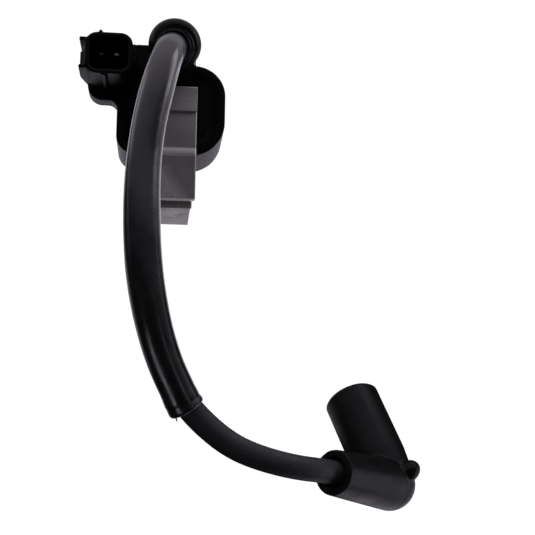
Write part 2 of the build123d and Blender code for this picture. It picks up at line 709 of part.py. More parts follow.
with BuildPart() as clip_holder:
    with BuildSketch(across(BOOT_CORNER + BOOT_OUT * clip_y, BOOT_OUT)):
        Circle(CLIP_SEAT_RADIUS)
        Circle(CLIP_RADIUS, mode=Mode.SUBTRACT)
    extrude(amount=CLIP_SEAT_LENGTH)
    chamfer(clip_holder.edges().filter_by(GeomType.CIRCLE).sort_by(lambda e: e.radius)[0:2], 0.3)
write(clip_holder.part, "clip_holder")

with BuildPart() as plug_boot:
    with BuildSketch(elbow_plane):
        with BuildLine():
            Polyline(
                (entry_x, 0),
                (entry_x, BOOT_ENTRY_RADIUS),
                (-3.0, BOOT_ELBOW_RADIUS),
                (0, BOOT_ELBOW_RADIUS),
                (0, 0),
                close=True,
            )
        make_face()
        entry_edge = BOOT_ENTRY + BOOT_OUT * BOOT_ENTRY_RADIUS
        fillet(vertices().sort_by_distance(entry_edge)[0], 1.0)
    revolve(axis=lead_axis)
    with Locations(BOOT_CORNER - BOOT_IN * 0.5):
        Sphere(BOOT_CORNER_RADIUS)
    with BuildSketch(elbow_plane):
        with BuildLine():
            Polyline(
                (0, 0),
                (BOOT_CORNER_RADIUS, 0),
                (BOOT_SOCKET_RADIUS, 10.0),
                (BOOT_SOCKET_RADIUS, BOOT_SOCKET_LENGTH - BOOT_RIM_CHAMFER),
                (BOOT_SOCKET_RADIUS - BOOT_RIM_CHAMFER, BOOT_SOCKET_LENGTH),
                (0, BOOT_SOCKET_LENGTH),
                close=True,
            )
        make_face()
    revolve(axis=socket_axis)
    # A round-ended pull tab on the elbow's side
    with BuildSketch(Plane(origin=BOOT_CORNER, x_dir=BOOT_SIDE, z_dir=BOOT_OUT)):
        with BuildLine():
            tab_side = Line((0, TAB_RADIUS), (TAB_REACH - TAB_RADIUS, TAB_RADIUS))
            tab_end = TangentArc(tab_side @ 1, (TAB_REACH, 0), tangent=(1, 0))
            Polyline(tab_end @ 1, (0, 0), tab_side @ 0)
        make_face()
    revolve(axis=Axis(BOOT_CORNER, BOOT_SIDE))
    # The lead's bore with its recessed mouth, and the plug's bore
    for bore_start, bore_end, bore_radius in (
        (entry_x, entry_x + MOUTH_DEPTH, MOUTH_RADIUS),
        (entry_x, terminal_x, LEAD_DIAMETER / 2 + SWIVEL_GAP),
        (terminal_x, hole_end_x, hole_radius),
    ):
        with BuildSketch(across(BOOT_CORNER + BOOT_IN * bore_start, BOOT_IN)):
            Circle(bore_radius)
        extrude(amount=bore_end - bore_start, mode=Mode.SUBTRACT)
    for bore_radius, bore_depth in (
        (PLUG_BORE_RADIUS, PLUG_BORE_LENGTH),
        (CLIP_SEAT_RADIUS, PLUG_BORE_LENGTH + CLIP_SEAT_LENGTH),
    ):
        with BuildSketch(across(BOOT_RIM, BOOT_OUT)):
            Circle(bore_radius)
        extrude(amount=-bore_depth, mode=Mode.SUBTRACT)
    add(elbow_terminal.part, mode=Mode.SUBTRACT)
write(plug_boot.part, "plug_boot")
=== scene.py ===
import math

import bmesh
import bpy
from mathutils import Matrix, Vector, noise
from mathutils.bvhtree import BVHTree


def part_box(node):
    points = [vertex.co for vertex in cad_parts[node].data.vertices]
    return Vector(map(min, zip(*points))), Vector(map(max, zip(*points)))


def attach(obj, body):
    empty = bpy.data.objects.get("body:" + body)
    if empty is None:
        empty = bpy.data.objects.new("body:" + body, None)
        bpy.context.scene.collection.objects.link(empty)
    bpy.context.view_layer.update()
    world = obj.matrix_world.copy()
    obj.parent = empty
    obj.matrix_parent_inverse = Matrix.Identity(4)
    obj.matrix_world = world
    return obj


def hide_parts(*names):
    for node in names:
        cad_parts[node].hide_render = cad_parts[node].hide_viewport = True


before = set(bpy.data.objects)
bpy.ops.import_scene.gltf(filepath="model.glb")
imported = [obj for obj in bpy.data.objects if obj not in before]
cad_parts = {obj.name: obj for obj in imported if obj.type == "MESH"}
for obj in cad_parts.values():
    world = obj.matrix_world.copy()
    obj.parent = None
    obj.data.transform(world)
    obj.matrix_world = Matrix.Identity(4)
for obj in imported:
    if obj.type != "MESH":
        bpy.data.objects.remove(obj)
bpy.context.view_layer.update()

# An ignition coil lying on its back, with its high-tension lead and plug boot.
# Everything is in metres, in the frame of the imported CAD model. Right is +X and far is +Y.
scene = bpy.context.scene
MM = 0.001
UP = Vector((0, 0, 1))

# ------------------------------------------------------------------ driving values
LEAD_RADIUS = 3.9 * MM
SLEEVE_RADIUS = 5.55 * MM
SLEEVE_BORE = 4.55 * MM
SLEEVE_LIP = 0.3 * MM
SLEEVE_END_ROUND = 0.8 * MM
SLEEVE_FIRST, SLEEVE_FIRST_SHARE = 1, 0.52    # the route's point before an end, and how far
SLEEVE_LAST, SLEEVE_LAST_SHARE = 11, 0.56     # the end lies towards the next one
STEP = 1.2 * MM           # between the rings of a cord's mesh
FINE_STEP = 0.3 * MM      # and near the sleeve's cut end
HIDDEN_STEP = 2.4 * MM    # and in the sleeve's bore
BOOT_ENTRY = Vector((0.0528, -0.12285, 0.0459))
BOOT_IN = Vector((0.7207, -0.1410, -0.6788)).normalized()
BOOT_OUT_HINT = Vector((-0.302, 0.834, -0.468))
BOOT_OUT = (BOOT_OUT_HINT - BOOT_IN * BOOT_OUT_HINT.dot(BOOT_IN)).normalized()
BOOT_SIDE = BOOT_IN.cross(BOOT_OUT)
BOOT_CORNER = BOOT_ENTRY + BOOT_IN * 31.2 * MM
TAB_FROM = 7.5 * MM       # from the boot's corner, along its side, to the pull tab
TAB_RADIUS = 4.2 * MM
POTTING_TOP = 23.9 * MM
LAMINATION = 0.5 * MM
WELD = 0.001 * MM         # points nearer than this are one
UV_UNIT = 10 * MM         # length along a cord for one unit of its UV map

# The lead's route, from the tower's contact to inside the boot
ROUTE = [
    Vector((0.0005, 0.0156, 0.0305)),
    Vector((0.0005, 0.0156, 0.0380)),
    Vector((-0.0007, 0.0110, 0.0495)),
    Vector((-0.0022, 0.0045, 0.0550)),
    Vector((-0.0045, -0.0050, 0.0580)),
    Vector((-0.0069, -0.0175, 0.0592)),
    Vector((-0.0083, -0.0325, 0.0603)),
    Vector((-0.0083, -0.0485, 0.0614)),
    Vector((-0.0071, -0.0640, 0.0620)),
    Vector((-0.0043, -0.0785, 0.0622)),
    Vector((-0.0006, -0.0900, 0.0614)),
    Vector((0.0042, -0.0998, 0.0603)),
    Vector((0.0100, -0.1070, 0.0589)),
    Vector((0.0193, -0.1145, 0.0570)),
    Vector((0.0285, -0.1184, 0.0558)),
    Vector((0.0400, -0.1212, 0.0536)),
    BOOT_ENTRY - BOOT_IN * 3.5 * MM,
    BOOT_ENTRY + BOOT_IN * 7.5 * MM,
]


def add(name, data):
    """A new object in the scene."""
    made = bpy.data.objects.new(name, data)
    scene.collection.objects.link(made)
    return made


# ------------------------------------------------------------------ camera
TARGET = Vector((0.0332, -0.05654, 0.030))
DISTANCE = 0.3560
VIEW_AZIMUTH = math.radians(32.88)
VIEW_ELEVATION = math.radians(79.38)
VIEW_ROLL = math.radians(34.02)

camera_data = bpy.data.cameras.new("camera")
camera_data.lens = 72
camera_data.sensor_width = 36
camera = add("camera", camera_data)
scene.camera = camera
look = Vector(
    (
        math.sin(VIEW_AZIMUTH) * math.cos(VIEW_ELEVATION),
        math.cos(VIEW_AZIMUTH) * math.cos(VIEW_ELEVATION),
        -math.sin(VIEW_ELEVATION),
    )
)
camera.location = TARGET - look * DISTANCE
camera.rotation_mode = "QUATERNION"
level = look.to_track_quat("-Z", "Y").to_matrix()
camera.rotation_quaternion = (Matrix.Rotation(-VIEW_ROLL, 3, look) @ level).to_quaternion()


# ------------------------------------------------------------------ mesh helpers
def shade_smooth(mesh):
    """Makes every face of a mesh smooth."""
    mesh.polygons.foreach_set("use_smooth", [True] * len(mesh.polygons))


def make_piece(name, mesh):
    """A new object in the scene, with smooth faces."""
    shade_smooth(mesh)
    return add(name, mesh)


def apply_modifiers(piece):
    """Turns what the modifiers make into the piece's own mesh."""
    depsgraph = bpy.context.evaluated_depsgraph_get()
    made = bpy.data.meshes.new_from_object(piece.evaluated_get(depsgraph))
    old = piece.data
    piece.modifiers.clear()
    piece.data = made
    bpy.data.meshes.remove(old)
    shade_smooth(made)


def copy_of(node, name):
    """A copy of a CAD node's mesh as a new piece without material."""
    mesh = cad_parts[node].data.copy()
    mesh.name = name
    mesh.materials.clear()
    return make_piece(name, mesh)


def moulded(node, name, voxel, rounds):
    """A CAD shape as one even mesh, with the soft edges and fillets of a moulding: voxel is
    the mesh's pitch, and each of the rounds softens it more."""
    piece = copy_of(node, name)
    remesh = piece.modifiers.new("even", "REMESH")
    remesh.mode = "VOXEL"
    remesh.voxel_size = voxel
    soften = piece.modifiers.new("soften", "SMOOTH")
    soften.factor = 0.5
    soften.iterations = rounds
    apply_modifiers(piece)
    return piece


def join_flat_faces(shape, degrees):
    """Joins faces that meet at less than this angle."""
    limit = math.radians(degrees)
    bmesh.ops.dissolve_limit(shape, angle_limit=limit, verts=shape.verts, edges=shape.edges)


def stamped(node, name, edge):
    """A CAD shape with each sharp edge broken by a small round bevel."""
    piece = copy_of(node, name)
    shape = bmesh.new()
    shape.from_mesh(piece.data)
    bmesh.ops.remove_doubles(shape, verts=shape.verts, dist=WELD)
    join_flat_faces(shape, 0.5)
    shape.to_mesh(piece.data)
    shape.free()
    bevel = piece.modifiers.new("edge", "BEVEL")
    bevel.width = edge
    bevel.segments = 3
    bevel.limit_method = "ANGLE"
    bevel.angle_limit = math.radians(35)
    bevel.harden_normals = True
    apply_modifiers(piece)
    return piece


STAY = Vector((0, 0, 0))


def reshape(piece, move):
    """Moves each vertex of a piece by what move(place, normal) returns."""
    shape = bmesh.new()
    shape.from_mesh(piece.data)
    shape.normal_update()
    moves = [move(v.co.copy(), v.normal.copy()) for v in shape.verts]
    for vertex, step in zip(shape.verts, moves):
        vertex.co += step
    shape.to_mesh(piece.data)
    shape.free()


def path_frames(points):
    """Length so far, place, direction and one steady side direction at each point of a path."""
    frames = []
    length = 0.0
    side = UP.orthogonal()
    for i, place in enumerate(points):
        before = points[max(i - 1, 0)]
        after = points[min(i + 1, len(points) - 1)]
        direction = (after - before).normalized()
        side = (side - direction * side.dot(direction)).normalized()
        if i:
            length += (place - before).length
        frames.append((length, place, direction, side))
    return frames


def place_on(frames, along):
    """The place, direction and side at a length along a path."""
    for (s0, p0, d0, n0), (s1, p1, d1, n1) in zip(frames, frames[1:]):
        if along <= s1:
            break
    share = (along - s0) / (s1 - s0)
    direction = d0.lerp(d1, share).normalized()
    side = n0.lerp(n1, share)
    side = (side - direction * side.dot(direction)).normalized()
    return p0.lerp(p1, share), direction, side


def turned(name, frames, outline, segments=48, uneven=None, closed=False):
    """A skin round a path. Each outline point is (length along the path, radius), and
    uneven(along, turn, radius) adds to the radius there. A closed outline has no end faces."""
    shape = bmesh.new()
    uv = shape.loops.layers.uv.new("UVMap")
    rings = []
    for along, radius in outline:
        place, direction, side = place_on(frames, along)
        up = direction.cross(side)
        ring = []
        for i in range(segments):
            turn = 2 * math.pi * i / segments
            extra = uneven(along, turn, radius) if uneven else 0.0
            ray = side * math.cos(turn) + up * math.sin(turn)
            ring.append(shape.verts.new(place + ray * (radius + extra)))
        rings.append(ring)
    pairs = list(zip(range(len(rings)), range(1, len(rings))))
    if closed:
        pairs.append((len(rings) - 1, 0))
    for a, b in pairs:
        for i in range(segments):
            j = (i + 1) % segments
            face = shape.faces.new((rings[a][i], rings[a][j], rings[b][j], rings[b][i]))
            ends = ((i, a), (i + 1, a), (i + 1, b), (i, b))
            for loop, (around, ring) in zip(face.loops, ends):
                loop[uv].uv = (outline[ring][0] / UV_UNIT, around / segments)
    if not closed:
        for ring in (rings[0], rings[-1]):
            shape.faces.new(ring)
    bmesh.ops.recalc_face_normals(shape, faces=shape.faces)
    mesh = bpy.data.meshes.new(name)
    shape.to_mesh(mesh)
    shape.free()
    return make_piece(name, mesh)


def nearest_along(frames, place):
    """The length along a path at which it passes nearest to a place."""
    return min(frames, key=lambda frame_at: (frame_at[1] - place).length)[0]


def steps(start, end, pitch):
    """Evenly spaced values from start to end, both included."""
    count = max(1, round(abs(end - start) / pitch))
    return [start + (end - start) * i / count for i in range(count + 1)]


def quarter(along, radius, size, end_turn, count=4):
    """Outline points on a quarter circle round (along, radius), clockwise to end_turn degrees."""
    turns = [math.radians(end_turn + 90 * i / count) for i in range(count, -1, -1)]
    return [(along + size * math.cos(turn), radius + size * math.sin(turn)) for turn in turns]


def eased(value, start, end):
    """Goes smoothly from 0 at start to 1 at end."""
    share = min(max((value - start) / (end - start), 0.0), 1.0)
    return share * share * (3 - 2 * share)


def bell(value, middle, width):
    """One at middle, fading on either side over about width."""
    return math.exp(-(((value - middle) / width) ** 2))


# ------------------------------------------------------------------ materials
class Surface:
    """A material whose colour, gloss and relief come from procedural nodes."""

    def __init__(self, name, metallic=0.0, specular=0.5, coat=0.0, coat_roughness=0.1):
        self.material = bpy.data.materials.new(name)
        self.material.use_nodes = True
        self.nodes = self.material.node_tree.nodes
        self.links = self.material.node_tree.links
        self.shader = self.nodes["Principled BSDF"]
        self.shader.inputs["Metallic"].default_value = metallic
        self.shader.inputs["Specular IOR Level"].default_value = specular
        self.shader.inputs["Coat Weight"].default_value = coat
        self.shader.inputs["Coat Roughness"].default_value = coat_roughness
        self.coordinates = self.nodes.new("ShaderNodeTexCoord")
        self.relief = None

    def stretched(self, scale, output="Object"):
        """Object or UV coordinates, scaled by (x, y, z)."""
        mapping = self.nodes.new("ShaderNodeMapping")
        mapping.inputs["Scale"].default_value = scale
        self.links.new(self.coordinates.outputs[output], mapping.inputs["Vector"])
        return mapping.outputs["Vector"]

    def cloud(self, size, detail, rough=0.55, stretch=(1, 1, 1), output="Object", twist=0.0):
        """Soft noise from 0 to 1, in patches of about size metres."""
        texture = self.nodes.new("ShaderNodeTexNoise")
        texture.inputs["Scale"].default_value = 1.0
        texture.inputs["Detail"].default_value = detail
        texture.inputs["Roughness"].default_value = rough
        texture.inputs["Distortion"].default_value = twist
        scale = tuple(value / size for value in stretch)
        self.links.new(self.stretched(scale, output), texture.inputs["Vector"])
        return texture.outputs["Fac"]

    def bands(self, pitch, axis):
        """Even lines across one axis, pitch metres apart."""
        wave = self.nodes.new("ShaderNodeTexWave")
        wave.wave_type = "BANDS"
        wave.bands_direction = axis
        wave.inputs["Scale"].default_value = 1.0
        wave.inputs["Distortion"].default_value = 0.0
        period = 2 * math.pi / 20    # of a band texture at scale 1
        self.links.new(self.stretched((period / pitch,) * 3), wave.inputs["Vector"])
        return wave.outputs["Fac"]

    def ramp(self, source, low, high, start=0.0, end=1.0):
        """Goes from low to high as source goes from start to end, and stays level outside."""
        node = self.nodes.new("ShaderNodeMapRange")
        node.inputs["From Min"].default_value = start
        node.inputs["From Max"].default_value = end
        node.inputs["To Min"].default_value = low
        node.inputs["To Max"].default_value = high
        self.links.new(source, node.inputs["Value"])
        return node.outputs["Result"]

    def place_on_axis(self, axis):
        """Where a point lies along an axis of the piece."""
        split = self.nodes.new("ShaderNodeSeparateXYZ")
        self.links.new(self.coordinates.outputs["Object"], split.inputs[0])
        return split.outputs[axis]

    def along(self, axis, start, end):
        """Goes from 0 at start to 1 at end, along an axis of the piece."""
        return self.ramp(self.place_on_axis(axis), 0.0, 1.0, start, end)

    def stripe(self, axis, middle, half_width):
        """One within half_width of a place along an axis, fading to zero over as much again."""
        away = self.nodes.new("ShaderNodeMath")
        away.operation = "SUBTRACT"
        away.inputs[1].default_value = middle
        size = self.nodes.new("ShaderNodeMath")
        size.operation = "ABSOLUTE"
        self.links.new(self.place_on_axis(axis), away.inputs[0])
        self.links.new(away.outputs[0], size.inputs[0])
        return self.ramp(size.outputs[0], 1.0, 0.0, half_width, 2 * half_width)

    def edges(self):
        """One on outer edges, zero on flat ground, where Pointiness is 0.5."""
        geometry = self.nodes.new("ShaderNodeNewGeometry")
        return self.ramp(geometry.outputs["Pointiness"], 0.0, 1.0, 0.52, 0.60)

    def grazing(self, start, end):
        """Zero where the surface faces the eye, one where it turns away from it."""
        facing = self.nodes.new("ShaderNodeLayerWeight")
        return self.ramp(facing.outputs["Facing"], 0.0, 1.0, start, end)

    def times(self, first, second):
        """The product of two values."""
        node = self.nodes.new("ShaderNodeMath")
        node.operation = "MULTIPLY"
        self.links.new(first, node.inputs[0])
        self.links.new(second, node.inputs[1])
        return node.outputs["Value"]

    def tones(self, first, second, share):
        """Goes from the first colour to the second by share. Each is a colour or an output."""
        mix = self.nodes.new("ShaderNodeMix")
        mix.data_type = "RGBA"
        self.links.new(share, mix.inputs[0])
        for socket, colour in ((6, first), (7, second)):
            if isinstance(colour, tuple):
                mix.inputs[socket].default_value = (*colour, 1)
            else:
                self.links.new(colour, mix.inputs[socket])
        return mix.outputs[2]

    def colour(self, source):
        """Gives the surface its colour."""
        self.links.new(source, self.shader.inputs["Base Color"])

    def gloss(self, source, low, high):
        """Lets the roughness go from low to high where a cloud goes from thin to thick."""
        self.links.new(self.ramp(source, low, high, 0.3, 0.7), self.shader.inputs["Roughness"])

    def sheen(self, share, roughness):
        """Adds a pale sheen, by share."""
        self.links.new(share, self.shader.inputs["Sheen Weight"])
        self.shader.inputs["Sheen Roughness"].default_value = roughness

    def bump(self, source, height, strength):
        """Adds relief of that height in metres to any that is already there."""
        node = self.nodes.new("ShaderNodeBump")
        node.inputs["Strength"].default_value = strength
        node.inputs["Distance"].default_value = height
        self.links.new(source, node.inputs["Height"])
        if self.relief:
            self.links.new(self.relief, node.inputs["Normal"])
        self.relief = node.outputs["Normal"]
        self.links.new(self.relief, self.shader.inputs["Normal"])


def grey(value, warm=0.0):
    """A near-grey linear colour; warm shifts it towards brown, or to violet below zero."""
    return (value * (1 + warm), value * (1 + 0.3 * warm), value * (1 - warm))


def moulded_plastic(name, tone, roughness, specular):
    """Black filled plastic: flow patches, spark-eroded grain, fine scuffs and rubbed edges."""
    surface = Surface(name, specular=specular)
    patches = surface.cloud(9 * MM, detail=3)
    scuffs = surface.cloud(1.6 * MM, detail=5, stretch=(0.25, 1, 1), twist=1.5)
    body = surface.tones(grey(tone, -0.06), grey(tone * 1.7, -0.08), patches)
    rubbed = surface.times(surface.edges(), surface.ramp(scuffs, 0.0, 0.6, 0.45, 0.6))
    surface.colour(surface.tones(body, grey(tone * 7, -0.04), rubbed))
    surface.gloss(scuffs, roughness - 0.05, roughness + 0.1)
    surface.bump(surface.cloud(0.28 * MM, detail=2), 0.012 * MM, 0.6)
    surface.bump(patches, 0.05 * MM, 0.35)
    return surface.material


def rubber(name, tone, roughness, specular):
    """Moulded rubber: talc bloom in patches, fine pores and a few dust specks."""
    surface = Surface(name, specular=specular)
    bloom = surface.cloud(6 * MM, detail=5, rough=0.6, twist=0.6)
    specks = surface.ramp(surface.cloud(0.5 * MM, detail=2), 0.0, 1.0, 0.70, 0.78)
    bloomed = surface.ramp(bloom, 0, 1, 0.35, 0.7)
    body = surface.tones(grey(tone, -0.05), grey(tone * 2.0), bloomed)
    surface.colour(surface.tones(body, grey(tone * 9, 0.1), surface.times(specks, bloom)))
    surface.gloss(bloom, roughness - 0.06, roughness + 0.12)
    surface.bump(surface.cloud(0.35 * MM, detail=3), 0.02 * MM, 0.5)
    surface.bump(bloom, 0.06 * MM, 0.3)
    return surface.material


def extruded(name, tone, roughness, specular, line, skin=None):
    """An extruded jacket: drawn lines of height line in mm, handling marks and dust. A value
    for skin adds a pale sheen of that roughness at grazing angles, except inside the cap."""
    surface = Surface(name, specular=specular)
    drawn = surface.cloud(1.0, detail=3, stretch=(0.35, 60, 1), output="UV")
    handled = surface.cloud(7 * MM, detail=5, rough=0.6, twist=0.8)
    specks = surface.ramp(surface.cloud(0.55 * MM, detail=1), 0.0, 1.0, 0.72, 0.78)
    body = surface.tones(grey(tone, -0.08), grey(tone * 1.6, -0.04), drawn)
    body = surface.tones(body, grey(tone * 12, 0.08), surface.times(specks, handled))
    surface.colour(body)
    if skin:
        clear_of_cap = surface.along("Y", 8 * MM, 1 * MM)
        surface.sheen(surface.times(surface.grazing(0.6, 0.84), clear_of_cap), skin)
    surface.gloss(handled, roughness - 0.05, roughness + 0.09)
    surface.bump(drawn, line * MM, 0.5)
    surface.bump(handled, 0.08 * MM, 0.3)
    return surface.material


def steel(name, tone, roughness, stretch, lighter_bands=()):
    """Varnished sheet steel: rolling grain, varnish patches, faint rust and bright edges. Each
    entry of the last argument paints a lighter band across the piece: (place along Y, half width,
    gain in tone)."""
    surface = Surface(name, metallic=0.3)
    grain = surface.cloud(0.5 * MM, detail=4, stretch=stretch)
    patches = surface.cloud(7 * MM, detail=5, rough=0.6, twist=0.4)
    body = surface.tones(grey(tone, -0.01), grey(tone * 1.35, 0.04), patches)
    spots = surface.ramp(surface.cloud(2.4 * MM, detail=6), 0.0, 0.5, 0.58, 0.68)
    stained = surface.tones(body, (tone * 1.5, tone * 1.05, tone * 0.8), spots)
    rubbed = surface.times(surface.edges(), surface.ramp(grain, 0.2, 0.9))
    body = surface.tones(stained, grey(min(tone * 3.5, 0.8)), rubbed)
    # Lighter bands painted across the piece; on the strap, the band along its near end is a
    # painted highlight
    for middle, half_width, gain in lighter_bands:
        band_mask = surface.stripe("Y", middle, half_width)
        body = surface.tones(body, grey(tone * gain, 0.04), band_mask)
    surface.colour(body)
    surface.gloss(grain, roughness - 0.05, roughness + 0.1)
    surface.bump(grain, 0.02 * MM, 0.45)
    surface.bump(patches, 0.04 * MM, 0.3)
    return surface.material


def laminated_steel(name, tone, roughness):
    """The edges of stacked sheets, with the varnish between them and a few rusty ones."""
    surface = Surface(name, metallic=0.6)
    sheets = surface.cloud(LAMINATION, detail=1, stretch=(1, 0.02, 0.02))
    patches = surface.cloud(5 * MM, detail=5, rough=0.6)
    body = surface.tones(grey(tone, -0.02), grey(tone * 1.5, 0.03), sheets)
    rust = surface.times(surface.ramp(sheets, 0, 0.5, 0.5, 0.7), patches)
    surface.colour(surface.tones(body, (tone * 1.6, tone * 0.9, tone * 0.6), rust))
    surface.gloss(patches, roughness - 0.06, roughness + 0.12)
    surface.bump(surface.cloud(0.2 * MM, detail=3), 0.02 * MM, 0.4)
    surface.bump(sheets, 0.04 * MM, 0.5)
    return surface.material


def wound_wire(name, colour, pitch, axis):
    """Enamelled wire laid turn beside turn."""
    surface = Surface(name, metallic=0.9, coat=0.6, coat_roughness=0.15)
    turns = surface.bands(pitch, axis)
    shade = surface.cloud(2.5 * MM, detail=4)
    dark = tuple(c * 0.45 for c in colour)
    wires = surface.tones(dark, colour, turns)
    surface.colour(surface.tones(wires, dark, surface.ramp(shade, 0, 0.6, 0.5, 0.8)))
    surface.gloss(shade, 0.22, 0.38)
    surface.bump(turns, pitch * 0.5, 0.9)
    return surface.material


def plated(name, colour, roughness):
    """Brass, copper or tinned contacts: drawn scratches, tarnish in patches and bright edges."""
    surface = Surface(name, metallic=1.0)
    tarnish = surface.cloud(1.4 * MM, detail=5, rough=0.65, twist=0.5)
    drawn = surface.cloud(0.25 * MM, detail=3, stretch=(1, 1, 0.08))
    dark = tuple(c * 0.42 for c in colour)
    body = surface.tones(colour, dark, surface.ramp(tarnish, 0.0, 0.8, 0.45, 0.7))
    light = tuple(min(1.0, c * 1.25) for c in colour)
    surface.colour(surface.tones(body, light, surface.edges()))
    surface.gloss(drawn, roughness - 0.06, roughness + 0.1)
    surface.bump(drawn, 0.012 * MM, 0.5)
    return surface.material


def resin(name):
    """Cast epoxy: glossy and black, with slight waves, trapped bubbles and settled dust."""
    surface = Surface(name, specular=0.06)
    waves = surface.cloud(8 * MM, detail=2)
    bubbles = surface.ramp(surface.cloud(0.9 * MM, detail=1), 0.0, 1.0, 0.68, 0.74)
    dust = surface.cloud(3 * MM, detail=6, rough=0.7)
    body = surface.tones(grey(0.0012, -0.05), grey(0.0022, -0.02), waves)
    surface.colour(surface.tones(body, grey(0.03, 0.05), surface.times(dust, bubbles)))
    surface.gloss(dust, 0.2, 0.4)
    surface.bump(waves, 0.15 * MM, 0.3)
    surface.bump(bubbles, 0.03 * MM, 0.4)
    return surface.material


def nylon(name, colour):
    """Natural or tinted nylon: cloudy colour, flow lines and a waxy skin."""
    surface = Surface(name, specular=0.4)
    flow = surface.cloud(3 * MM, detail=4, stretch=(1, 0.3, 1), twist=0.8)
    dark = tuple(c * 0.6 for c in colour)
    surface.colour(surface.tones(dark, colour, flow))
    surface.gloss(flow, 0.35, 0.5)
    surface.bump(surface.cloud(0.3 * MM, detail=3), 0.015 * MM, 0.5)
    return surface.material


COPPER = (0.72, 0.32, 0.16)
ENAMEL = (0.55, 0.20, 0.09)
BRASS = (0.70, 0.52, 0.22)
TIN = (0.30, 0.295, 0.28)
# Pin a's tin is painted darker than pin b's, as painted shade that keeps its tip dim
SHADED_TIN = (0.07, 0.068, 0.064)
SPRING = (0.45, 0.45, 0.46)
housing_plastic = moulded_plastic("housing_plastic", tone=0.0012, roughness=0.34, specular=0.05)
connector_plastic = moulded_plastic(
    "connector_plastic", tone=0.0014, roughness=0.36, specular=0.06
)
sleeve_vinyl = extruded(
    "sleeve_vinyl", tone=0.0025, roughness=0.23, specular=0.4, line=0.012, skin=0.75
)
lead_rubber = extruded("lead_rubber", tone=0.0100, roughness=0.55, specular=0.22, line=0.02)
boot_rubber = rubber("boot_rubber", tone=0.0022, roughness=0.36, specular=0.08)
cap_rubber = rubber("cap_rubber", tone=0.0016, roughness=0.28, specular=0.05)
strap_steel = steel(
    "strap_steel",
    tone=0.098,
    roughness=0.5,
    stretch=(1, 0.12, 1),
    # A lighter band across the strap's middle, and a painted highlight along its near end
    lighter_bands=((-19.3 * MM, 0.8 * MM, 3.8), (-35.75 * MM, 0.4 * MM, 9.0)),
)
clip_steel = steel("clip_steel", tone=0.075, roughness=0.42, stretch=(0.12, 1, 1))
core_steel = laminated_steel("core_steel", tone=0.125, roughness=0.38)
rivet_steel = plated("rivet_steel", SPRING, roughness=0.35)
potting_resin = resin("potting_resin")

# ------------------------------------------------------------------ lead and sleeve
line_data = bpy.data.curves.new("lead_line", "CURVE")
line_data.dimensions = "3D"
line_data.resolution_u = 24
spline = line_data.splines.new("NURBS")
spline.points.add(len(ROUTE) - 1)
for point, place in zip(spline.points, ROUTE):
    point.co = (*place, 1)
spline.order_u = 3
spline.use_endpoint_u = True
line = add("lead_line", line_data)
bpy.context.view_layer.update()
line_mesh = bpy.data.meshes.new_from_object(line)
lead_points = [vertex.co.copy() for vertex in line_mesh.vertices]
bpy.data.objects.remove(line)
lead_frames = path_frames(lead_points)
lead_length = lead_frames[-1][0]
sleeve_from, sleeve_to = (
    nearest_along(lead_frames, ROUTE[point].lerp(ROUTE[point + 1], share))
    for point, share in ((SLEEVE_FIRST, SLEEVE_FIRST_SHARE), (SLEEVE_LAST, SLEEVE_LAST_SHARE))
)


def waviness(along, turn, length, around):
    """Noise over a cord's skin, in waves of about length, and finer round it if around is more."""
    return noise.noise(Vector((along / length, around * math.cos(turn), around * math.sin(turn))))


def lead_uneven(along, turn, radius):
    """A jacket is a little oval and wavy, and this one is drawn thinner towards the boot."""
    drawn_thin = 0.035 * eased(along, sleeve_to, lead_length - 20 * MM)
    return radius * (0.012 * waviness(along, turn, 14 * MM, 1) - drawn_thin)


def sleeve_uneven(along, turn, radius):
    """The sleeve's outside is squeezed in the cap and flattened on its right beyond it, slack in
    the middle, and shrunk, pinched and flared at its cut end. The sizes here are in mm."""
    share = max(0.0, (radius - SLEEVE_BORE) / (SLEEVE_RADIUS - SLEEVE_BORE))
    squeezed = 0.55 * (1 - eased(along, sleeve_from, sleeve_from + 30 * MM))
    flattened = 1.2 * max(0.0, math.cos(turn)) * eased(along, sleeve_from, sleeve_from + 14 * MM)
    flattened *= 1 - eased(along, sleeve_from + 40 * MM, sleeve_from + 75 * MM)
    slack = 0.14 * eased(along, sleeve_from + 30 * MM, sleeve_from + 65 * MM)
    shrunk = 0.38 * eased(along, sleeve_to - 50 * MM, sleeve_to - 10 * MM)
    pinched = 0.12 * bell(along, sleeve_to - 2.4 * MM, 0.7 * MM)
    flared = 0.26 * eased(along, sleeve_to - 7 * MM, sleeve_to)
    waves = 0.06 * waviness(along, turn, 16 * MM, 1.3)
    ripple = 0.02 * waviness(along, turn, 4 * MM, 3)
    wider = slack + flared + waves + ripple
    return share * (wider - squeezed - flattened - shrunk - pinched) * MM


lead = turned(
    "lead",
    lead_frames,
    [(along, LEAD_RADIUS) for along in steps(0.0, lead_length, STEP)],
    uneven=lead_uneven,
)

# The sleeve's section runs along its outside in coarse and then fine steps, round its cut end,
# back along its inside and round its first end
fine_from = sleeve_to - 6 * MM
round_from = sleeve_to - SLEEVE_END_ROUND
first_lip = sleeve_from + SLEEVE_LIP
last_lip = sleeve_to - SLEEVE_LIP / 2
sleeve_outline = [(along, SLEEVE_RADIUS) for along in steps(first_lip, fine_from, STEP)]
sleeve_outline += [(along, SLEEVE_RADIUS) for along in steps(fine_from, round_from, FINE_STEP)[1:]]
sleeve_outline += quarter(round_from, SLEEVE_RADIUS - SLEEVE_END_ROUND, SLEEVE_END_ROUND, 0, 6)[1:]
sleeve_outline += quarter(last_lip, SLEEVE_BORE + SLEEVE_LIP / 2, SLEEVE_LIP / 2, 270)
inside = steps(last_lip - SLEEVE_LIP, first_lip + SLEEVE_LIP, HIDDEN_STEP)
sleeve_outline += [(along, SLEEVE_BORE) for along in inside]
sleeve_outline += quarter(first_lip, SLEEVE_BORE + SLEEVE_LIP, SLEEVE_LIP, 180)
sleeve_outline += quarter(first_lip, SLEEVE_RADIUS - SLEEVE_LIP, SLEEVE_LIP, 90)[:-1]
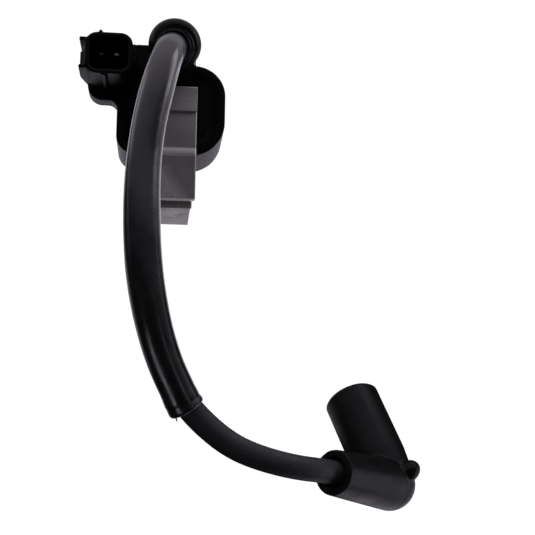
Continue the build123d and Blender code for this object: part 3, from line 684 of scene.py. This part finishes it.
sleeve = turned(
    "sleeve", lead_frames, sleeve_outline, segments=64, uneven=sleeve_uneven, closed=True
)

# Its last stretch stays straight while the lead in it turns
end_place, end_direction, _ = place_on(lead_frames, sleeve_to)
outward = end_direction.cross(UP).normalized()


def lean_out(place, normal):
    """The sleeve's end leans out of the bend, and its cut is askew."""
    along = nearest_along(lead_frames, place)
    out = 0.7 * MM * eased(along, sleeve_to - 9 * MM, sleeve_to)
    across = (place - end_place).dot(outward) / SLEEVE_RADIUS
    above = (place - end_place).dot(UP) / SLEEVE_RADIUS
    askew = (0.1 - 0.6 * across + 0.5 * above) * MM
    askew *= eased(along, sleeve_to - 7 * MM, sleeve_to - 1 * MM)
    return outward * out + end_direction * askew


reshape(sleeve, lean_out)

# A small pip of flash hangs from the cut end, on the outside of the bend
PIP_OUT, PIP_DOWN, PIP_PAST_END = 5.0 * MM, 0.6 * MM, 0.1 * MM
PIP_RADIUS, PIP_TIP_RADIUS, PIP_LENGTH = 0.42 * MM, 0.12 * MM, 2.2 * MM
pip = bmesh.new()
pip.from_mesh(sleeve.data)
pip_place = end_place + outward * PIP_OUT - UP * PIP_DOWN + end_direction * PIP_PAST_END
pip_turn = (end_direction + outward * 0.35).to_track_quat("Z", "Y").to_matrix().to_4x4()
bmesh.ops.create_cone(
    pip,
    cap_ends=True,
    segments=16,
    radius1=PIP_RADIUS,
    radius2=PIP_TIP_RADIUS,
    depth=PIP_LENGTH,
    matrix=Matrix.Translation(pip_place) @ pip_turn,
)
pip.to_mesh(sleeve.data)
pip.free()
shade_smooth(sleeve.data)

# ------------------------------------------------------------------ moulded pieces
housing = moulded("housing", "housing_shell", voxel=0.35 * MM, rounds=2)
connector = moulded("connector_module", "connector_shell", voxel=0.28 * MM, rounds=2)
cap = moulded("tower_cap", "rubber_cap", voxel=0.28 * MM, rounds=4)
boot = moulded("plug_boot", "rubber_boot", voxel=0.3 * MM, rounds=6)
potting = moulded("potting_compound", "potting_fill", voxel=0.32 * MM, rounds=0)


def hug_sleeve(place, normal):
    """The cap's mouth grips the sleeve, harder on its left, and has two folds on its right."""
    along, centre, _, _ = min(lead_frames, key=lambda at: (at[1] - place).length)
    away = place - centre
    distance = away.length
    if along < sleeve_from - 3 * MM or distance < 1 * MM:
        return STAY
    grip = 1.1 - 0.4 * away.x / distance
    reach = 1 - eased(distance, 5.6 * MM, 8.4 * MM)
    right = eased(away.x / distance, 0.35, 0.7)
    folds = bell(distance, 6.4 * MM, 0.28 * MM) + 0.8 * bell(distance, 7.5 * MM, 0.28 * MM)
    return -away.normalized() * (1.15 * MM * grip * reach) - normal * (0.45 * MM * right * folds)


reshape(cap, hug_sleeve)


def draw_tab(place, normal):
    """The boot's pull tab is a little longer than its core shape, with a crease along its top."""
    rel = place - BOOT_CORNER
    out = rel.dot(BOOT_SIDE)
    beside = rel - BOOT_SIDE * out
    if out < TAB_FROM or beside.length > TAB_RADIUS:
        return STAY
    crease = bell(beside.dot(BOOT_OUT), 0.0, 0.35 * MM) * eased(normal.z, 0.2, 0.8)
    return BOOT_SIDE * ((out - TAB_FROM) * 0.34) - normal * (0.12 * MM * crease)


reshape(boot, draw_tab)

# What the potting touches
housing_tree = BVHTree.FromPolygons(
    [v.co.copy() for v in housing.data.vertices],
    [tuple(p.vertices) for p in housing.data.polygons],
)


def climb(place, normal):
    """The potting's top climbs a little up everything that stands in it."""
    if place.z < POTTING_TOP - 0.6 * MM:
        return STAY
    gap = housing_tree.find_nearest(place)[3]
    return UP * (0.5 * MM * max(0.0, 1 - gap / (2.4 * MM)) ** 2)


reshape(potting, climb)

# ------------------------------------------------------------------ steel pieces
strap = stamped("core_strap", "steel_strap", edge=0.18 * MM)
clip = stamped("core_clip", "steel_clip", edge=0.15 * MM)


def sheet_stack(node, name):
    """A CAD shape cut into thin sheets along X, each a hair out of line with the next."""
    low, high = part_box(node)
    count = round((high.x - low.x) / LAMINATION)
    pitch = (high.x - low.x) / count
    sheet = bmesh.new()
    sheet.from_mesh(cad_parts[node].data)
    bmesh.ops.remove_doubles(sheet, verts=sheet.verts, dist=WELD)
    beyond = [f for f in sheet.faces if max(v.co.x for v in f.verts) > low.x + 10 * WELD]
    bmesh.ops.delete(sheet, geom=beyond, context="FACES")
    join_flat_faces(sheet, 1)
    grown = bmesh.ops.extrude_face_region(sheet, geom=sheet.faces[:])
    moved = [item for item in grown["geom"] if isinstance(item, bmesh.types.BMVert)]
    bmesh.ops.translate(sheet, verts=moved, vec=(pitch, 0, 0))
    bmesh.ops.recalc_face_normals(sheet, faces=sheet.faces)
    rim = [e for e in sheet.edges if e.calc_face_angle(0) > math.radians(60)]
    bmesh.ops.bevel(sheet, geom=rim, offset=0.05 * MM, segments=1, affect="EDGES")
    mesh = bpy.data.meshes.new(name)
    sheet.to_mesh(mesh)
    sheet.free()
    stack = bmesh.new()
    for i in range(count):
        first = len(stack.verts)
        stack.from_mesh(mesh)
        stack.verts.ensure_lookup_table()
        drift = noise.noise_vector(Vector((i * 1.7, 0.3, 0.9))) * 0.035 * MM
        bmesh.ops.translate(stack, verts=stack.verts[first:], vec=(i * pitch, drift.y, drift.z))
    stack.to_mesh(mesh)
    stack.free()
    return add(name, mesh)


yoke = sheet_stack("core_yoke", "yoke_sheets")

# ------------------------------------------------------------------ nodes and materials
# What each piece stands for
for piece, node, body, material in (
    (lead, "lead_jacket", "coil", lead_rubber),
    (sleeve, "protective_sleeve", "coil", sleeve_vinyl),
    (housing, "housing", "coil", housing_plastic),
    (connector, "connector_module", "coil", connector_plastic),
    (cap, "tower_cap", "coil", cap_rubber),
    (boot, "plug_boot", "boot", boot_rubber),
    (potting, "potting_compound", "coil", potting_resin),
    (strap, "core_strap", "coil", strap_steel),
    (clip, "core_clip", "coil", clip_steel),
    (yoke, "core_yoke", "coil", core_steel),
):
    piece.data.materials.append(material)
    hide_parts(node)
    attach(piece, body)

# The nodes that keep their CAD shapes
for node, material in (
    ("core_bar", core_steel),
    ("core_gap_spacer", nylon("spacer_nylon", (0.55, 0.50, 0.38))),
    ("core_rivets", rivet_steel),
    ("primary_bobbin", nylon("primary_nylon", (0.50, 0.44, 0.30))),
    ("primary_winding", wound_wire("primary_wire", COPPER, pitch=0.45 * MM, axis="Y")),
    ("secondary_bobbin", nylon("secondary_nylon", (0.42, 0.36, 0.26))),
    ("secondary_winding", wound_wire("secondary_wire", ENAMEL, pitch=0.12 * MM, axis="Y")),
    # Pin a's darker tin is painted shade
    ("terminal_pin_a", plated("pin_a_tin", SHADED_TIN, roughness=0.4)),
    ("terminal_pin_b", plated("pin_b_tin", TIN, roughness=0.4)),
    ("primary_leads", plated("lead_copper", COPPER, roughness=0.3)),
    ("hv_terminal", plated("contact_brass", BRASS, roughness=0.3)),
    ("hv_jumper", plated("jumper_copper", COPPER, roughness=0.3)),
    ("lead_conductor", plated("conductor_copper", COPPER, roughness=0.35)),
    ("lead_ferrule", plated("ferrule_brass", BRASS, roughness=0.3)),
    ("elbow_terminal", plated("elbow_brass", BRASS, roughness=0.32)),
    ("plug_clip", plated("clip_spring", SPRING, roughness=0.3)),
    ("clip_holder", nylon("holder_nylon", (0.05, 0.05, 0.055))),
):
    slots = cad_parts[node].data.materials
    slots.clear()
    slots.append(material)

# ------------------------------------------------------------------ floor and light
TINT = (1.0, 0.94, 1.06)
SEEN_WHITE = 1.05
SLEEVE_SHINE = (0.001, -0.093, 0.061)


def graded(nodes, links, coordinate, levels):
    """A tinted grey that follows (place, level) pairs, as the coordinate goes from 0 to 1."""
    ramp = nodes.new("ShaderNodeValToRGB")
    while len(ramp.color_ramp.elements) < len(levels):
        ramp.color_ramp.elements.new(0.5)
    for element, (place, level) in zip(ramp.color_ramp.elements, levels):
        element.position = place
        element.color = (*(level * part for part in TINT), 1)
    links.new(coordinate, ramp.inputs["Fac"])
    return ramp.outputs["Color"]


def white_when_seen(nodes, links, kind, lit, surface):
    """Shows white to the camera's own rays, and what is lit to all the others."""
    white = nodes.new(kind)
    white.inputs["Color"].default_value = (1, 1, 1, 1)
    white.inputs["Strength"].default_value = SEEN_WHITE
    first_hit = nodes.new("ShaderNodeLightPath")
    either = nodes.new("ShaderNodeMixShader")
    links.new(first_hit.outputs["Is Camera Ray"], either.inputs["Fac"])
    links.new(lit, either.inputs[1])
    links.new(white.outputs[0], either.inputs[2])
    links.new(either.outputs[0], surface)


# The floor shows white. The light it gives back is that of a dark table with white cards on it,
# each (place, radius, level), and it grows brighter beyond the tower, towards +Y.
FLOOR_CARDS = (
    ((0.008, -0.011), 0.060, 0.85),    # under the coil
    ((0.095, 0.010), 0.045, 0.9),      # right of the coil
    ((-0.085, -0.085), 0.045, 0.45),   # left of the sleeve
    ((0.042, -0.098), 0.022, 0.7),     # beside the boot's entry
    ((0.13, -0.205), 0.09, 1.4),       # beyond the boot's corner
)
CARD_EDGE = ((0.0, 1.0), (0.7, 1.0), (1.0, 0.0))
FLOOR_FAR = ((0.0, 0.03), (0.66, 0.04), (0.8, 0.8), (1.0, 0.9))
FLOOR_RANGE = (-0.16, 0.12)            # the places along Y where FLOOR_FAR starts and ends
FLOOR_REACH = 2.5
FLOOR_LEVEL = -0.3 * MM
FLOOR_CORNERS = ((-1, -1), (1, -1), (1, 1), (-1, 1))
floor_mesh = bpy.data.meshes.new("floor")
corners = [(x * FLOOR_REACH, y * FLOOR_REACH, FLOOR_LEVEL) for x, y in FLOOR_CORNERS]
floor_mesh.from_pydata(corners, [], [(0, 1, 2, 3)])
floor = add("floor", floor_mesh)
floor_paint = bpy.data.materials.new("floor_white")
floor_paint.use_nodes = True
paint_nodes = floor_paint.node_tree.nodes
paint_links = floor_paint.node_tree.links
paint_nodes.clear()
floor_place = paint_nodes.new("ShaderNodeNewGeometry").outputs["Position"]
floor_axes = paint_nodes.new("ShaderNodeSeparateXYZ")
along_y = paint_nodes.new("ShaderNodeMapRange")
along_y.inputs["From Min"].default_value = FLOOR_RANGE[0]
along_y.inputs["From Max"].default_value = FLOOR_RANGE[1]
paint_links.new(floor_place, floor_axes.inputs[0])
paint_links.new(floor_axes.outputs["Y"], along_y.inputs["Value"])
total = graded(paint_nodes, paint_links, along_y.outputs["Result"], FLOOR_FAR)
for (card_x, card_y), card_radius, card_level in FLOOR_CARDS:
    reach = paint_nodes.new("ShaderNodeVectorMath")
    reach.operation = "DISTANCE"
    reach.inputs[1].default_value = (card_x, card_y, 0)
    share = paint_nodes.new("ShaderNodeMapRange")
    share.inputs["From Max"].default_value = card_radius
    paint_links.new(floor_place, reach.inputs[0])
    paint_links.new(reach.outputs["Value"], share.inputs["Value"])
    levels = [(where, level * card_level) for where, level in CARD_EDGE]
    card = graded(paint_nodes, paint_links, share.outputs["Result"], levels)
    brighter = paint_nodes.new("ShaderNodeMix")
    brighter.data_type = "RGBA"
    brighter.blend_type = "LIGHTEN"
    brighter.inputs[0].default_value = 1.0
    paint_links.new(total, brighter.inputs[6])
    paint_links.new(card, brighter.inputs[7])
    total = brighter.outputs[2]
glow = paint_nodes.new("ShaderNodeEmission")
paint_links.new(total, glow.inputs["Color"])
paint_out = paint_nodes.new("ShaderNodeOutputMaterial").inputs["Surface"]
white_when_seen(paint_nodes, paint_links, "ShaderNodeEmission", glow.outputs[0], paint_out)
floor_mesh.materials.append(floor_paint)

# The sky is dark overhead and brighter beyond the tower, and it shows white too
SKY = ((0.0, 0.03), (0.5, 0.03), (0.6, 0.05), (0.66, 0.20), (0.74, 0.85), (0.9, 1.3), (1.0, 1.4))
world = bpy.data.worlds.new("studio")
scene.world = world
world.use_nodes = True
sky_nodes = world.node_tree.nodes
sky_links = world.node_tree.links
sky_direction = sky_nodes.new("ShaderNodeTexCoord")
sky_axes = sky_nodes.new("ShaderNodeSeparateXYZ")
spread = sky_nodes.new("ShaderNodeMapRange")
spread.inputs["From Min"].default_value = -1.0
sky_links.new(sky_direction.outputs["Generated"], sky_axes.inputs[0])
sky_links.new(sky_axes.outputs["Y"], spread.inputs["Value"])
sky_colour = graded(sky_nodes, sky_links, spread.outputs["Result"], SKY)
sky = sky_nodes["Background"]
sky_links.new(sky_colour, sky.inputs["Color"])
sky_out = sky_nodes["World Output"].inputs["Surface"]
white_when_seen(sky_nodes, sky_links, "ShaderNodeBackground", sky.outputs[0], sky_out)


def softbox(name, place, aim, width, height, brightness):
    """A rectangular light at place, facing aim; brightness is what a mirror would show."""
    lamp = bpy.data.lights.new(name, "AREA")
    lamp.shape = "RECTANGLE"
    lamp.size = width
    lamp.size_y = height
    lamp.energy = brightness * math.pi * width * height
    lamp.color = TINT
    light = add(name, lamp)
    light.location = place
    light.rotation_mode = "QUATERNION"
    light.rotation_quaternion = (Vector(aim) - Vector(place)).to_track_quat("-Z", "Y")


# The rims of the sleeve beside the cap, the boot's elbow, and the two streaks on the sleeve's end
softbox("right_light", (0.135, 0.090, 0.05), (0, 0.090, 0.05), 0.14, 0.08, 3.4)
softbox("left_light", (-0.14, 0.080, 0.04), (0, 0.080, 0.05), 0.10, 0.09, 1.8)
softbox("elbow_light", (0.32, -0.185, 0.06), (0.075, -0.127, 0.025), 0.27, 0.12, 3.3)
softbox("left_strip", (-0.20, -0.22, 0.23), SLEEVE_SHINE, 0.13, 0.09, 2.9)
softbox("right_strip", (0.17, -0.08, 0.30), SLEEVE_SHINE, 0.05, 0.05, 1.8)
scene.view_settings.view_transform = "Standard"
